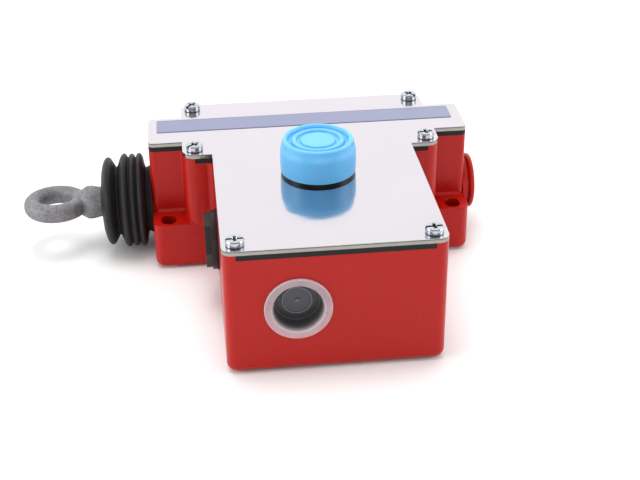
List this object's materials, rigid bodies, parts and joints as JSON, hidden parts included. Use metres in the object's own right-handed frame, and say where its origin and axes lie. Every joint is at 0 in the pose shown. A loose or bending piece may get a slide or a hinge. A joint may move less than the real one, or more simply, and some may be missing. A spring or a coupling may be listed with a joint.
{
  "type": "rope pull switch",
  "caption": "Rope pull safety switch: T-shaped red cast housing with flat metal cover, booted reset button, bellows and eye for the rope, and plugged cable entries.",
  "frame": {"origin": "on the mounting face, midway between the four fixing slots, straight under the rope's axis", "axes": "-Z into the wall that carries the switch; +X along the rope's axis, away from the eye; -Y along the stem that holds the contacts"},
  "size_m": [0.1996, 0.1364, 0.0685],
  "materials": {
    "red_enamel": "glossy red powder coat over die cast metal",
    "cover_steel": "bright polished sheet, softly reflecting",
    "gasket_rubber": "matt black",
    "zinc_screws": "bright zinc plate",
    "cast_grey": "galvanised casting, grey and slightly rough",
    "bright_steel": "ground steel",
    "spring_steel": "drawn wire",
    "bellows_rubber": "satin black moulding",
    "bronze": "sintered bronze and brass",
    "slide_plastic": "glass filled nylon",
    "blue_boot": "semi-gloss sky blue silicone",
    "black_plastic": "black moulding",
    "white_plastic": "natural acetal",
    "block_plastic": "black phenolic moulding",
    "contact_copper": "copper alloy strip with silver tips",
    "plug_clear": "clear soft plastic, seen pinkish over the red body",
    "plug_black": "satin black nylon"
  },
  "bodies": {
    "switch_housing": {"housing": "red_enamel", "cover_gasket": "gasket_rubber", "cover_plate": "cover_steel", "cover_screws": "zinc_screws", "rope_bellows": "bellows_rubber", "rod_guide_bush": "bronze", "main_spring": "spring_steel", "return_spring": "spring_steel", "end_cap": "red_enamel", "reset_boot": "blue_boot", "button_barrel": "black_plastic", "button_nut": "black_plastic", "reset_spring": "spring_steel", "latch_bracket": "bright_steel", "latch_pin": "bright_steel", "contact_block": "block_plastic", "contact_block_screws": "zinc_screws", "plunger_spring": "spring_steel", "fixed_contacts": "contact_copper", "terminal_clamps": "zinc_screws", "terminal_screws": "zinc_screws", "earth_clamp": "bronze", "earth_screw": "bronze", "front_entry_plug": "plug_clear", "side_entry_plug": "plug_black", "side_plug_washer": "gasket_rubber"},
    "rope_pull": {"eye_nut": "cast_grey", "eye_lock_nut": "zinc_screws", "pull_rod": "bright_steel", "cam_carriage": "slide_plastic", "carriage_pin": "bright_steel"},
    "contact_slide": {"contact_plunger": "white_plastic", "roller_pin": "bright_steel", "contact_bridges": "contact_copper"},
    "roller": {"cam_roller": "bright_steel"},
    "reset_button": {"reset_plunger": "white_plastic"},
    "latch": {"latch_lever": "bronze"}
  },
  "joints": [
    {"name": "pull_slide", "type": "slide", "parent": "switch_housing", "child": "rope_pull", "axis": [-1, 0, 0], "range_m": [0, 0.014], "stiffness_N_per_m": 4000, "springref_m": -0.01, "deforming": ["rope_bellows", "main_spring", "return_spring"]},
    {"name": "plunger_slide", "type": "slide", "parent": "switch_housing", "child": "contact_slide", "axis": [0, -1, 0], "range_m": [0, 0.0042], "deforming": ["plunger_spring"]},
    {"name": "roller_spin", "type": "hinge", "parent": "contact_slide", "child": "roller", "pos_m": [0, -0.01229, 0.021], "axis": [0, 0, 1], "range_deg": [0, 280]},
    {"name": "reset_slide", "type": "slide", "parent": "switch_housing", "child": "reset_button", "axis": [0, 0, -1], "range_m": [0, 0.004], "stiffness_N_per_m": 1500, "springref_m": -0.004, "deforming": ["reset_boot", "reset_spring"]},
    {"name": "latch_hinge", "type": "hinge", "parent": "switch_housing", "child": "latch", "pos_m": [0, -0.0365, 0.038], "axis": [1, 0, 0], "range_deg": [0, 20.1]}
  ],
  "couplings": [
    {"joint": "plunger_slide", "follows": "pull_slide", "ratio": 0.3},
    {"joint": "roller_spin", "follows": "pull_slide", "rad_per_m": 348},
    {"joint": "latch_hinge", "follows": "reset_slide", "rad_per_m": 87.5}
  ]
}
